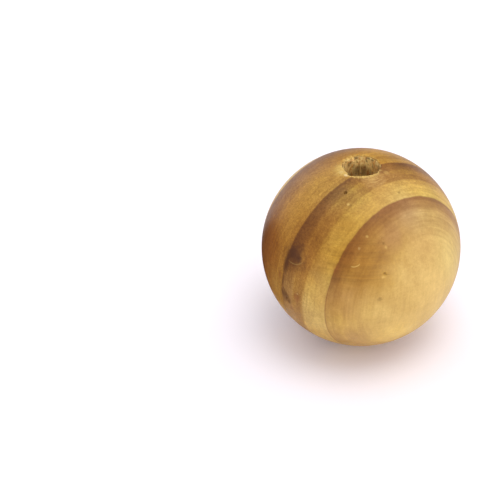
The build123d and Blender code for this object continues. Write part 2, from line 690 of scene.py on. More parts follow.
def mix(tree, share, first, second):
    """Mixes two colours by a share from 0 to 1."""
    node = add_node(tree, "ShaderNodeMix", data_type="RGBA")
    for name, value in (("Factor_Float", share), ("A_Color", first), ("B_Color", second)):
        set_socket(tree, next(socket for socket in node.inputs if socket.identifier == name), value)
    return next(socket for socket in node.outputs if socket.identifier == "Result_Color")


for (start, full), (full_end, end), (top, foot), strength, changed_colour in CHANGING_YEARS_AND_FOOT_LIGHT:
    in_year = times(tree, ease(tree, ring_place, start, full), ease(tree, ring_place, end, full_end))
    towards_foot = ease(tree, along_grain, top, foot, 0.0, strength)
    ring_colour = mix(tree, times(tree, towards_foot, in_year), ring_colour, changed_colour)

# %% [markdown]
# ## Fibre and growth lines
#
# Up close the pale and dark years are not flat. Fibre shows as fine streaks along the grain, which turn
# into dots on the end grain by themselves because the pattern is solid. Thinner growth lines run with the
# rings, and show least in the pale face. Each multiplies the ring's colour by a number near one.

# %% Layer the fibre and the growth lines
RICHNESS = 0.6
FIBRE_CONTRAST, COARSE_FIBRE_CONTRAST, GROWTH_LINE_CONTRAST = 0.12, 0.08, 0.24
FIBRE_SQUEEZE = (1, 1, 0.045)


def shade_by(colour, pattern, contrast):
    """Darkens and lightens a colour by a pattern round 0. Where it darkens, blue goes first and red last."""
    shares = (1.0, 1.0 + RICHNESS / 2, 1.0 + RICHNESS)
    shifts = vectors(tree, "SCALE", shares, times(tree, pattern, 2 * contrast))
    return vectors(tree, "MULTIPLY", colour, vectors(tree, "ADD", shifts, (1, 1, 1)))


tilt_back = vectors(tree, "SCALE", (GRAIN.x / GRAIN.z, GRAIN.y / GRAIN.z, 0), along_grain)
upright_grain = vectors(tree, "SUBTRACT", place, tilt_back)
fibre_place = vectors(tree, "MULTIPLY", upright_grain, FIBRE_SQUEEZE)
fibre = noise(tree, fibre_place, 3.2, 4.0, 0.62)
coarse_fibre = noise(tree, fibre_place, 1.1, 2.0, 0.5)
colour = shade_by(ring_colour, minus(tree, fibre, 0.5), FIBRE_CONTRAST)
colour = shade_by(colour, minus(tree, coarse_fibre, 0.5), COARSE_FIBRE_CONTRAST)

line_place = vector_of(tree, ring_place, times(tree, sideways, 0.05), times(tree, along_grain, 0.03))
lines_show = ease(tree, ring_place, 45.5, 50.0, 0.15, 1.0)
lines_show = times(tree, lines_show, ease(tree, sideways, -2.0, 6.0, 1.0, 2.1))
growth_lines = times(tree, lines_show, swing(tree, line_place, 2.4, 3.0, 0.6))
colour = shade_by(colour, growth_lines, GROWTH_LINE_CONTRAST)

# %% [markdown]
# ## Mottling, blotches and speckle
#
# Under a thin finish softwood looks cloudy, because it soaks the finish up unevenly. Three sizes of noise
# do that: broad soft mottling, blotches of about a millimetre, and a fine speckle. The last two are
# stronger in the darker, outer years than in the pale face.

# %% Layer the clouds
MOTTLE_CONTRAST, BLOTCH_CONTRAST, SPECKLE_CONTRAST = 0.15, 0.20, 0.20
BLOTCH_SQUEEZE = (1, 1, 0.6)

mottle = noise(tree, place, 0.30, 3.0, 0.55)
colour = shade_by(colour, minus(tree, mottle, 0.5), MOTTLE_CONTRAST)

blotches = swing(tree, vectors(tree, "MULTIPLY", place, BLOTCH_SQUEEZE), 0.85, 4.0, 0.6)
blotches = times(tree, blotches, ease(tree, ring_place, 47.0, 51.0, 0.5, 1.15))
colour = shade_by(colour, blotches, BLOTCH_CONTRAST)

speckle = noise(tree, place, 2.6, 3.0, 0.6)
both_speckles = plus(tree, minus(tree, speckle, 0.5), swing(tree, place, 5.5, 2.0, 0.6))
both_speckles = times(tree, both_speckles, ease(tree, ring_place, 50.0, 58.0, 0.5, 2.0))
colour = shade_by(colour, both_speckles, SPECKLE_CONTRAST)

# %% [markdown]
# ## Patches of warmer and paler wood, and of painted light, shade and sheen
#
# The colour also drifts slowly over the bead. Towards the bark side it is a deeper brown that leans to
# orange, partly the wood's own and partly painted shade and a painted warm reflection. In front there is a
# faint brown blush inside the dark line. Near the foot the wood is painted paler, as light from the floor,
# and darker low on the left, as shade. Cool pale patches on the right and the upper left are painted
# sheen and highlight. Each is a broad soft patch round a place on the side that multiplies what is under it.
# Numbers under 1 make a patch darker, and a last number above the others makes it cooler.

# %% Let the colour drift
TONE_AND_LIGHT_PATCHES = [  # bearing, height angle, core and reach in millimetres, tint
    (-178.0, 6.0, 3.0, 11.0, (0.84, 0.61, 0.28)),  # outer year's brown, deepened by painted shade and a painted warm reflection
    (-124.0, 24.0, 2.0, 10.0, (0.97, 0.88, 0.64)),  # brown band, richer halfway up
    (-84.0, 24.0, 0.5, 7.5, (0.86, 0.76, 0.48)),  # brown blush in the pale face
    (-88.0, 38.0, 3.0, 9.0, (0.96, 0.94, 0.72)),  # a weaker blush above it
    (-118.0, -28.0, 4.0, 9.0, (1.07, 1.10, 1.20)),  # pale year at the foot: painted light and sheen from the floor
    (-136.0, -30.0, 1.0, 8.0, (1.12, 1.12, 0.88)),  # foot of the brown band
    (-110.0, 35.0, 0.5, 4.0, (0.90, 0.91, 0.94)),  # duller stretch of the pale year
    (-45.0, 46.0, 0.5, 4.5, (1.00, 1.02, 1.10)),  # upper edge of the pale face
    (-29.0, 50.0, 1.0, 7.0, (1.12, 1.28, 1.28)),  # inner dark line on the right: painted sheen
    (-11.0, 48.0, 0.5, 4.5, (0.88, 0.86, 0.76)),  # pale year, duller on the right
    (-111.0, 63.0, 0.3, 4.0, (1.07, 1.24, 1.26)),  # paler round the pin hole
    (-70.0, 39.0, 0.0, 3.0, (1.00, 0.98, 1.45)),  # painted highlight high in the pale face
    (-52.0, 53.0, 1.0, 5.0, (1.00, 1.00, 1.25)),  # inner dark line: painted sheen
    (176.0, 46.0, 3.0, 10.0, (1.42, 1.60, 1.70)),  # left shoulder: painted light and sheen
    (95.0, 68.0, 2.0, 7.0, (1.22, 1.25, 0.84)),  # golden wood behind the mouth
    (-100.0, 74.0, 0.3, 2.0, (1.20, 1.24, 0.90)),  # pale front of the mouth
    (4.0, 75.0, 0.3, 2.0, (1.20, 1.22, 0.90)),  # pale right end of the mouth
    (-151.0, 34.0, 3.0, 8.5, (0.87, 0.80, 0.66)),  # browner outer year, halfway up
    (-160.0, 65.0, 0.5, 4.0, (0.88, 0.85, 0.70)),  # browner outer year by the mouth
    (-15.0, 57.0, 0.5, 3.5, (0.95, 0.88, 0.84)),  # pale year, redder above that
    (-101.0, -14.0, 0.5, 3.6, (1.12, 1.18, 1.06)),  # bright lower edge of the pale face
    (-109.5, 20.0, 0.5, 3.2, (0.82, 0.80, 1.02)),  # grey stretch of the pale year
    (-111.0, 11.0, 0.3, 3.0, (1.00, 1.05, 1.20)),  # cool stretch below it
    (-116.0, -10.0, 1.0, 4.0, (0.92, 0.92, 0.85)),  # browner stretch below that
    (-127.0, 6.0, 1.0, 4.5, (1.13, 1.24, 1.32)),  # brown band, paler between its stains
    (-90.0, 68.5, 0.3, 2.6, (1.05, 1.16, 1.06)),  # brown band, paler in front of the mouth
    (-158.0, 15.0, 1.2, 6.0, (0.87, 0.76, 0.52)),  # outer year at its widest, deepened by painted shade on the left
    (-82.0, 27.0, 1.0, 5.0, (0.93, 0.89, 0.82)),  # heart of the brown blush
    (-68.0, -2.0, 1.0, 6.0, (0.94, 0.91, 0.84)),  # its lower right end
    (-93.0, -3.0, 1.0, 5.0, (1.10, 1.12, 1.02)),  # bright wood under the blush
    (-104.0, 19.0, 0.5, 3.5, (1.07, 1.15, 0.98)),  # inner dark line, weaker here
    (-84.0, 54.0, 2.0, 6.0, (0.96, 0.94, 0.84)),  # pale year, browner towards the mouth
    (4.0, 63.0, 0.5, 3.0, (0.97, 1.00, 0.80)),  # warm right shoulder
    (-50.0, 27.0, 1.0, 5.0, (0.94, 0.91, 0.88)),  # browner right half of the pale face
    (0.0, 79.5, 0.2, 0.9, (0.95, 0.84, 0.55)),  # brown lip at the mouth's right end
    (-118.0, -40.0, 2.0, 6.0, (0.85, 0.78, 0.64)),  # pale year's foot: painted shade low on the left
    (-70.0, -30.0, 1.0, 6.0, (1.16, 1.18, 1.04)),  # foot of the pale face: painted light from the floor
    (-12.0, 16.0, 2.0, 9.0, (1.10, 1.24, 1.24)),  # right edge of the pale face: painted sheen
]
MOTTLE_DRIFT = 2.5
DRIFT_MIDDLE = (MOTTLE_DRIFT + 1.0) / 2


def on_side(bearing, height_angle):
    """A place on the ball's side, in millimetres."""
    return on_ball(bearing, height_angle) * BALL


drift = plus(tree, times(tree, mottle, MOTTLE_DRIFT), coarse_fibre)
for bearing, height_angle, core, reach, tint in TONE_AND_LIGHT_PATCHES:
    away = vectors(tree, "LENGTH", vectors(tree, "SUBTRACT", place, on_side(bearing, height_angle)))
    share = ease(tree, plus(tree, away, drift), reach + DRIFT_MIDDLE, core + DRIFT_MIDDLE)
    colour = mix(tree, share, colour, vectors(tree, "MULTIPLY", colour, tint))
print(f"{len(TONE_AND_LIGHT_PATCHES)} patches")

# %% [markdown]
# ## Stains and flecks
#
# Two dark smudges sit in the brown band low on the left, with a few reddish spots beside them. Small pale
# flecks show where the surface is chipped or splintered, and olive ones where dirt has settled in a nick. A
# fleck is a soft spot round a place on the side, drawn out along the grain, with a ragged edge.

# %% Stain and fleck the surface
DARK_STAIN, RED_STAIN, OLIVE_STAIN = linear_hex("4E2A16"), linear_hex("8A4A1E"), linear_hex("6E4E1E")
PALE_CHIP, PALE_SPLINTER, BARE_RIM = linear_hex("E4C282"), linear_hex("FFEAB4"), linear_hex("E6C06C")
FLECKS = [  # bearing, height angle, half width, half height in millimetres, strength, colour
    (-135.6, 23.4, 0.75, 1.20, 0.62, DARK_STAIN),  # upper smudge and its soft halo
    (-129.8, 22.0, 0.66, 0.66, 0.62, DARK_STAIN),
    (-133.4, 22.8, 2.10, 2.00, 0.50, DARK_STAIN),
    (-132.8, 22.9, 0.90, 0.80, 0.48, DARK_STAIN),
    (-138.2, 15.2, 0.58, 2.60, 0.66, DARK_STAIN),  # streak that runs down from it
    (-139.0, 5.0, 0.16, 2.60, 0.55, DARK_STAIN),
    (-137.7, -5.4, 0.95, 1.35, 0.62, DARK_STAIN),  # lower smudge
    (-134.9, -8.8, 0.32, 0.50, 0.60, DARK_STAIN),
    (-133.9, -12.8, 0.38, 0.55, 0.45, RED_STAIN),  # reddish spots
    (-128.3, -1.8, 0.60, 0.95, 0.55, RED_STAIN),
    (-141.7, 6.6, 0.50, 0.60, 0.35, RED_STAIN),
    (-104.5, 24.0, 0.60, 0.90, 0.30, RED_STAIN),
    (-76.0, 20.9, 0.24, 0.22, 0.85, OLIVE_STAIN),  # nick, with its tail
    (-73.6, 20.0, 0.50, 0.07, 0.40, OLIVE_STAIN),
    (-79.6, 5.9, 0.38, 0.34, 0.34, OLIVE_STAIN),  # dimple
    (-74.4, 37.2, 0.18, 0.22, 0.45, OLIVE_STAIN),  # specks of dirt
    (-40.7, 61.1, 0.22, 0.22, 0.50, OLIVE_STAIN),
    (-66.0, 75.4, 0.70, 0.50, 0.20, BARE_RIM),  # worn place in front of the mouth
    (-131.0, 77.9, 0.34, 0.34, 0.60, PALE_SPLINTER),  # splinters at the mouth's left
    (-150.0, 77.6, 0.40, 0.30, 0.45, PALE_SPLINTER),
    (-22.0, 74.4, 0.45, 0.45, 0.22, BARE_RIM),  # worn place at its right
    (-76.9, 18.9, 0.24, 0.18, 0.34, BARE_RIM),  # chips in the pale face
    (-85.3, 41.9, 0.24, 0.24, 0.32, BARE_RIM),
    (-90.9, 35.5, 0.18, 0.20, 0.20, PALE_CHIP),
    (-73.1, 34.9, 0.22, 0.34, 0.30, BARE_RIM),
    (-101.2, 59.2, 0.30, 0.40, 0.35, OLIVE_STAIN),  # dirt and a chip under the pin hole
    (-102.9, 59.7, 0.24, 0.22, 0.60, BARE_RIM),
    (-127.6, 1.0, 0.16, 0.16, 0.30, PALE_CHIP),  # chip between the smudges
]
SPOT_EDGE, SPOT_CORE = 1.35, 0.35
RAGGEDNESS = 1.8
SPOT_SQUEEZE = (1, 1, 0.5)

spot_place = vectors(tree, "MULTIPLY", place, SPOT_SQUEEZE)
ragged = times(tree, swing(tree, spot_place, 1.7, 4.0, 0.65), RAGGEDNESS)


def spot(centre, half_width, half_height, strength):
    """Share of a soft spot with a ragged edge."""
    away = vectors(tree, "SUBTRACT", place, centre)
    away = vectors(tree, "MULTIPLY", away, (1 / half_width, 1 / half_width, 1 / half_height))
    return ease(tree, plus(tree, vectors(tree, "LENGTH", away), ragged), SPOT_EDGE, SPOT_CORE, 0.0, strength)


for bearing, height_angle, half_width, half_height, strength, fleck_colour in FLECKS:
    fleck = spot(on_side(bearing, height_angle), half_width, half_height, strength)
    colour = mix(tree, fleck, colour, fleck_colour)
print(f"{len(FLECKS)} flecks")

# %% [markdown]
# ## Scratches
#
# Two curved scratches look like nail marks. A scratch is a thin part of a circle: the colour changes where
# a point's distance from the circle's centre is close to its radius, and only in a sector round the arc's
# middle.

# %% Scratch the surface
SCRATCHES = [  # bearing and height angle of the arc's centre and middle, its radius in millimetres, strength
    ((-94.3, 29.7), (-92.8, 25.6), 1.12, 0.50),
    ((-133.7, 26.7), (-130.9, 18.6), 2.21, 0.18),
]
SCRATCH_WIDTH = 0.13
SCRATCH_HALF_ANGLE = radians(42)

for centre_angles, middle_angles, arc_radius, strength in SCRATCHES:
    centre = on_side(*centre_angles)
    middle = (on_side(*middle_angles) - centre).normalized()
    away = vectors(tree, "SUBTRACT", place, centre)
    off_line = arithmetic(tree, "ABSOLUTE", minus(tree, vectors(tree, "LENGTH", away), arc_radius))
    on_line = ease(tree, off_line, SCRATCH_WIDTH, 0.0, 0.0, strength)
    sector = vectors(tree, "DOT_PRODUCT", vectors(tree, "NORMALIZE", away), middle)
    on_arc = ease(tree, sector, cos(SCRATCH_HALF_ANGLE), cos(SCRATCH_HALF_ANGLE / 2))
    colour = mix(tree, times(tree, on_line, on_arc), colour, BARE_RIM)

# %% [markdown]
# ## The bare ring round a mouth
#
# The finish never reached the torn mouths. Round the upper one a narrow pale ring of bare wood shows,
# widest on the left. Its edge follows a list of widths round the bore. A ramp can blend such a list: the
# bearing is its place, and its grey is the width. Noise in rays round the bore breaks the ring up where the
# drill scraped.

# %% Bare the rim
BARE_WIDTHS = [  # bearing in degrees and width in millimetres of the bare ring round the upper mouth
    (0, -0.60), (50, -0.35), (104, -0.30), (116, -0.20), (142, -0.15), (158, -0.40), (170, -0.15),
    (186, 0.30), (202, 0.75), (216, 0.50), (230, -0.05), (262, -0.10), (285, -0.05), (312, 0.05),
    (338, -0.25),
]
BARE_FADE_OUT, BARE_FADE_IN = 0.60, -0.75
BARE_STRENGTH = 0.95
EDGE_SCUFF = 1.5
RAY_FINENESS, RAY_CHANGE_OUTWARDS = 3.0, 0.20


def round_the_bore(values):
    """A number that follows a list of bearings and values, blended smoothly between them."""
    share = arithmetic(tree, "DIVIDE", arithmetic(tree, "WRAP", turn, 2 * pi, 0.0), 2 * pi)
    widths = [value for bearing, value in values]
    low, high = min(widths), max(widths)
    stops = []
    for bearing, value in values + [(360, values[0][1])]:
        grey = (value - low) / (high - low)
        stops.append((bearing / 360, (grey, grey, grey, 1.0)))
    return ease(tree, colour_ramp(tree, share, stops, "EASE"), 0.0, 1.0, low, high)


place_parts = parts_of(tree, place)
turn = arithmetic(tree, "ARCTAN2", place_parts[1], place_parts[0])
axis_distance = vectors(tree, "LENGTH", flattened(tree, place))
depth_below_land = depth_below(tree, place, LAND_TOP)
rays = vector_of(
    tree,
    times(tree, arithmetic(tree, "COSINE", turn), RAY_FINENESS),
    times(tree, arithmetic(tree, "SINE", turn), RAY_FINENESS),
    times(tree, axis_distance, RAY_CHANGE_OUTWARDS),
)
scuff = plus(tree, swing(tree, place, 2.2, 4.0, 0.65), swing(tree, rays, 4.5, 3.0, 0.65))
scraped = ease(tree, noise(tree, rays, 8.0, 3.0, 0.65), 0.40, 0.56, 0.50, 1.0)

past_land = plus(tree, minus(tree, axis_distance, LAND), times(tree, scuff, EDGE_SCUFF))
past_ring = minus(tree, past_land, round_the_bore(BARE_WIDTHS))
bare = times(tree, ease(tree, past_ring, BARE_FADE_OUT, BARE_FADE_IN, 0.0, BARE_STRENGTH), scraped)
colour = mix(tree, bare, colour, BARE_RIM)

# %% [markdown]
# ## A scuffed place and a bright front rim
#
# The finish is rubbed off at the front right of the mouth, in strands that run round it, and the front rim
# itself is worn to a bright line. Both are limited to their stretch by the cosine of the angle between a
# point and the middle of that stretch, which is cheap and has no seam.

# %% Scuff the front of the mouth
SCUFF_COLOUR = linear_hex("DDB56E")
SCUFF_PLACE, SCUFF_HALF_ANGLE = (-60.0, 75.0), radians(8)
SCUFF_STRENGTH = 0.46
STRANDS_ALONG, STRANDS_ACROSS = 2.6, 2.4
RIM_LINE_BEARING, RIM_LINE_HALF_ANGLE = -78.0, radians(62)
RIM_LINE_OUTER, RIM_LINE_INNER = 0.20, -0.10
RIM_LINE_STRENGTH = 0.62

strand_place = vector_of(tree, times(tree, turn, STRANDS_ALONG), times(tree, axis_distance, STRANDS_ACROSS))
strands = ease(tree, noise(tree, strand_place, 1.7, 3.0, 0.6, 0.8), 0.44, 0.62, 0.25, 1.0)
at_scuff = vectors(tree, "DOT_PRODUCT", vectors(tree, "NORMALIZE", place), on_ball(*SCUFF_PLACE))
scuffed = ease(tree, at_scuff, cos(SCUFF_HALF_ANGLE), cos(radians(1)), 0.0, SCUFF_STRENGTH)
colour = mix(tree, times(tree, scuffed, strands), colour, SCUFF_COLOUR)

sideways_out = vectors(tree, "NORMALIZE", flattened(tree, place))
at_front = vectors(tree, "DOT_PRODUCT", sideways_out, on_ball(RIM_LINE_BEARING, 0.0))
from_rim = minus(tree, plus(tree, axis_distance, times(tree, scuff, 0.6)), LAND)
rim_line = ease(tree, from_rim, RIM_LINE_OUTER, RIM_LINE_INNER, 0.0, RIM_LINE_STRENGTH)
in_front = ease(tree, at_front, cos(RIM_LINE_HALF_ANGLE), cos(radians(40)))
colour = mix(tree, times(tree, rim_line, in_front, scraped), colour, BARE_RIM)

# %% [markdown]
# ## Lathe lines
#
# The tool and the sandpaper left faint lines round the ball, at right angles to the grain. They are a noise
# that changes quickly with height and hardly at all across. They show most where the light catches them,
# high in the pale face.

# %% Draw the lathe lines
LINES_CENTRE = (-94.0, 29.0)
FAINT_LINES, STRONG_LINES = 0.06, 0.34
LATHE_SQUEEZE = (0.04, 0.04, 1)

lathe_lines = noise(tree, vectors(tree, "MULTIPLY", place, LATHE_SQUEEZE), 2.6, 4.0, 0.7)
off_centre = vectors(tree, "LENGTH", vectors(tree, "SUBTRACT", place, on_side(*LINES_CENTRE)))
line_strength = ease(tree, plus(tree, off_centre, drift), 8.0, 4.5, FAINT_LINES, STRONG_LINES)
lathe_shade = times(tree, minus(tree, lathe_lines, 0.5), line_strength, 2.0)
colour = vectors(tree, "SCALE", colour, plus(tree, lathe_shade, 1.0))

# %% [markdown]
# ## The wall of the bore
#
# Inside the bore the wood is bare: pale fibres drawn out along the grain, with painted shade in the gaps
# between them and painted shade that deepens the deeper one looks. It has a colour of its own, which takes
# over from the ring colours at the rim. A few shaded gaps and bright splinters at the upper mouth are large
# enough to have a place each.

# %% Colour the bore
BARE_WALL_LIGHT, BARE_WALL_DARK = linear_hex("FFE094"), linear_hex("D89A55")
GAP_SHADE, BORE_SHADE = linear_hex("4E2608"), linear_hex("662E08")
GAP_SHADE_STRENGTH, BORE_SHADE_STRENGTH = 0.52, 0.40
WALL_SQUEEZE = (1, 1, 0.22)
BORE_SPOTS_AND_SHADE = [  # bearing, depth below the land, half width, half height in millimetres, strength, colour
    (162.0, 0.45, 0.26, 0.50, 0.50, GAP_SHADE),  # painted shade in gaps under the rim, at the left end
    (104.0, 0.38, 0.40, 0.26, 0.72, GAP_SHADE),  # and at the back
    (66.0, 0.32, 0.42, 0.24, 0.68, GAP_SHADE),
    (20.0, 1.30, 0.90, 1.30, 0.35, RED_STAIN),  # redder wall on the right
    (-4.0, 0.30, 0.60, 0.60, 0.60, OLIVE_STAIN),  # dirt at the right end
    (88.0, 2.50, 1.30, 0.90, 0.60, GAP_SHADE),  # painted shade in a hollow deep at the back
    (14.0, 1.00, 0.30, 0.60, 0.50, GAP_SHADE),  # painted shade in narrow gaps
    (128.0, 1.20, 0.30, 0.40, 0.50, GAP_SHADE),
    (114.0, 0.45, 0.22, 0.35, 0.85, BARE_WALL_LIGHT),  # bright splinters
    (85.0, 0.36, 0.28, 0.28, 0.95, BARE_WALL_LIGHT),
    (38.0, 0.80, 0.22, 0.35, 0.85, BARE_WALL_LIGHT),
    (24.0, 0.45, 0.20, 0.25, 0.90, BARE_WALL_LIGHT),
    (48.0, 0.36, 0.22, 0.22, 0.68, GAP_SHADE),  # painted shade in a small gap between them
    (4.0, 0.55, 0.35, 0.35, 0.55, OLIVE_STAIN),  # more dirt at the right end
    (90.0, 2.70, 0.14, 0.90, 0.55, BARE_WALL_LIGHT),  # long splinter across the hollow
]

wall_place = vectors(tree, "MULTIPLY", place, WALL_SQUEEZE)
wall_streaks = ease(tree, noise(tree, wall_place, 3.0, 4.0, 0.65), 0.34, 0.54)
wall_colour = mix(tree, wall_streaks, BARE_WALL_DARK, BARE_WALL_LIGHT)
# painted shade in the gaps between the fibres
gap_shade = ease(tree, noise(tree, spot_place, 1.7, 3.0, 0.65), 0.56, 0.66, 0.0, GAP_SHADE_STRENGTH)
wall_colour = mix(tree, gap_shade, wall_colour, GAP_SHADE)
# painted shade that deepens down the bore
bore_shade = ease(tree, depth_below_land, 1.5, 3.4, 0.0, BORE_SHADE_STRENGTH)
wall_colour = mix(tree, bore_shade, wall_colour, BORE_SHADE)
for bearing, depth, half_width, half_height, strength, spot_colour in BORE_SPOTS_AND_SHADE:
    centre = Vector((BORE * cos(radians(bearing)), BORE * sin(radians(bearing)), LAND_TOP - depth))
    wall_colour = mix(tree, spot(centre, half_width, half_height, strength), wall_colour, spot_colour)

inside = ease(tree, axis_distance, LAND - 0.05, BORE + 0.18)
inside = times(tree, inside, ease(tree, depth_below_land, 0.03, 0.28))
colour = mix(tree, inside, colour, wall_colour)
print(f"{len(BORE_SPOTS_AND_SHADE)} gaps and splinters in the upper mouth")

# %% [markdown]
# ## Sheen and fine relief
#
# The finish is thin and satin: light spreads wide in it, and at a grazing angle the ball's edge turns pale.
# A principled shader does that by itself if its roughness is middling. Bare wood is rougher and hardly
# shines. The fine relief, too small for the mesh, is a bump: fibre, lathe lines, speckle, and deeper fibre
# on bare wood.

# %% Finish the material
SATIN_ROUGHNESS, SATIN_RANGE = 0.40, (-0.06, 0.10)
BARE_ROUGHNESS = 0.85
WOOD_IOR, WOOD_SPECULAR = 1.5, 0.25
FIBRE_RELIEF, LINE_RELIEF, SPECKLE_RELIEF, BARE_RELIEF = 0.012, 0.010, 0.006, 0.12

bareness = arithmetic(tree, "MAXIMUM", bare, inside)
satin = ease(tree, fibre, 0.2, 0.8, SATIN_ROUGHNESS + SATIN_RANGE[0], SATIN_ROUGHNESS + SATIN_RANGE[1])
rougher = times(tree, bareness, BARE_ROUGHNESS - SATIN_ROUGHNESS)
roughness = arithmetic(tree, "ADD", satin, rougher, clamp=True)

fine_relief = plus(
    tree,
    times(tree, fibre, FIBRE_RELIEF),
    times(tree, lathe_lines, LINE_RELIEF),
    times(tree, speckle, SPECKLE_RELIEF),
    times(tree, noise(tree, wall_place, 5.0, 4.0, 0.7), times(tree, bareness, BARE_RELIEF)),
)
bump = add_node(tree, "ShaderNodeBump", {"Strength": 1.0, "Distance": MM, "Height": fine_relief})

shader = add_node(tree, "ShaderNodeBsdfPrincipled", {
    "Base Color": colour,
    "Roughness": roughness,
    "Normal": bump.outputs[0],
    "IOR": WOOD_IOR,
    "Specular IOR Level": WOOD_SPECULAR,
})
add_node(tree, "ShaderNodeOutputMaterial", {"Surface": shader.outputs[0]})
bead.data.materials.clear()
bead.data.materials.append(wood)

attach(bead, "root")
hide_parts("bead")
print(f"material: {len(tree.nodes)} nodes")

# %% [markdown]
# ## The look of a torn fibre
#
# A freshly torn fibre is dry and straw-coloured, paler than finished wood and without any shine. Deeper in
# the bore the fibres get the same painted shade as the wall behind them, so that they don't glow there.

# %% Make the fibres' material
FIBRE_PALE, FIBRE_BROWN = linear_hex("FFE8A8"), linear_hex("D89A4A")
TUFT_SQUEEZE, STRAND_SQUEEZE = (1, 1, 0.3), (1, 1, 0.1)
FIBRE_SHADE_STRENGTH = 0.55
STRAND_BUMP, STRAND_RELIEF = 0.6, 0.03 * MM
STRAW_ROUGHNESS = (0.70, 0.90)

straw, straw_tree = new_material("torn_fibre")
straw_place = place_in_mm(straw_tree)
tufts = noise(straw_tree, vectors(straw_tree, "MULTIPLY", straw_place, TUFT_SQUEEZE), 2.2, 3.0, 0.6)
straw_colour = mix(straw_tree, ease(straw_tree, tufts, 0.40, 0.58), FIBRE_BROWN, FIBRE_PALE)
straw_depth = depth_below(straw_tree, straw_place, LAND_TOP)
# painted shade deeper in the bore
fibre_shade = ease(straw_tree, straw_depth, 1.5, 3.2, 0.0, FIBRE_SHADE_STRENGTH)
straw_colour = mix(straw_tree, fibre_shade, straw_colour, BORE_SHADE)

straw_strands = noise(straw_tree, vectors(straw_tree, "MULTIPLY", straw_place, STRAND_SQUEEZE), 9.0, 2.0)
straw_bump = add_node(straw_tree, "ShaderNodeBump", {
    "Strength": STRAND_BUMP,
    "Distance": STRAND_RELIEF,
    "Height": straw_strands,
})
shader = add_node(straw_tree, "ShaderNodeBsdfPrincipled", {
    "Base Color": straw_colour,
    "Roughness": ease(straw_tree, straw_strands, 0.2, 0.8, *STRAW_ROUGHNESS),
    "Normal": straw_bump.outputs[0],
    "Specular IOR Level": WOOD_SPECULAR,
})
add_node(straw_tree, "ShaderNodeOutputMaterial", {"Surface": shader.outputs[0]})
print(f"fibre material: {len(straw_tree.nodes)} nodes")

# %% [markdown]
# ## Where the fibres grow
#
# What makes the mouths look torn are the fibres that the drill bent over and left hanging. They could be
# hairs, but hair is lost in the export, and these are thick enough to be small solids. Geometry Nodes
# scatter points over a copy of the skin and keep those just inside the mouths: high up only at the back,
# where the bore is open to view, and lower down all round.

# %% Scatter points in the mouths
FIBRE_INPUTS = {
    "Fibres per square millimetre": 1.7,
    "Length": 1.00 * MM,
    "Root radius": 0.110 * MM,
    "Lean": 0.55,
    "Reach below the land": 3.4 * MM,
}
FIBRE_SEED = 11
FAR_SIDE, FAR_HALF_ANGLE = radians(62), radians(50)

growth, growth_in, growth_out = new_geometry_tree("torn_fibres", FIBRE_INPUTS)
at = add_node(growth, "GeometryNodeInputPosition").outputs[0]
from_axis = vectors(growth, "LENGTH", flattened(growth, at))
depth = depth_below(growth, at, land_height)
in_mouth = ease(growth, from_axis, bore_radius + 0.50 * MM, bore_radius + 0.25 * MM)
in_reach = ease(growth, depth, growth_in.outputs["Reach below the land"], 0.3 * MM)

outwards = vectors(growth, "NORMALIZE", flattened(growth, at))
far_facing = vectors(growth, "DOT_PRODUCT", outwards, (cos(FAR_SIDE), sin(FAR_SIDE), 0))
far_side = ease(growth, far_facing, cos(FAR_HALF_ANGLE), cos(FAR_HALF_ANGLE * 0.8))
far_side = times(growth, far_side, ease(growth, depth, 0.45 * MM, 0.60 * MM))
well_below = ease(growth, depth, 1.05 * MM, 1.30 * MM)
in_place = times(growth, in_mouth, in_reach, arithmetic(growth, "MAXIMUM", far_side, well_below))

per_area = times(growth, growth_in.outputs["Fibres per square millimetre"], 1 / MM**2)
points = add_node(growth, "GeometryNodeDistributePointsOnFaces", {
    "Mesh": growth_in.outputs["Geometry"],
    "Density": times(growth, in_place, per_area),
    "Seed": FIBRE_SEED,
})
print(f"the fibres' tree has {len(growth.nodes)} nodes so far")

# %% [markdown]
# ## A sliver on each point
#
# One fibre is a sliver with five sides, a tenth or two of a millimetre thick at its root, nearly twice as
# wide, and tapered to its tip. Each point gets its own length, thickness and lean at random, with a fixed
# seed, and any turn round its own length. Realised and given their material, the slivers become a plain mesh
# on the bead's body.

# %% Stand the slivers
SLIVER_SIDES, SLIVER_SEGMENTS = 5, 3
SLIVER_TIP = 0.12
SLIVER_FLATNESS = 1.7
SHORTEST, THINNEST = 0.35, 0.5
LENGTH_SEED, GIRTH_SEED, LEAN_SEED = 3, 4, 5
ANY_TURN = 5

sliver = add_node(growth, "GeometryNodeMeshCone", {
    "Vertices": SLIVER_SIDES,
    "Side Segments": SLIVER_SEGMENTS,
    "Radius Top": SLIVER_TIP,
    "Radius Bottom": 1.0,
    "Depth": 1.0,
}, fill_type="NGON")


def random_between(tree, kind, low, high, seed):
    """A random number or vector for each point."""
    first = 0 if kind == "FLOAT_VECTOR" else 2
    inputs = {first: low, first + 1: high, "Seed": seed}
    node = add_node(tree, "FunctionNodeRandomValue", data_type=kind)
    for name, value in inputs.items():
        node.inputs[name].default_value = value
    return node.outputs[0 if kind == "FLOAT_VECTOR" else 1]


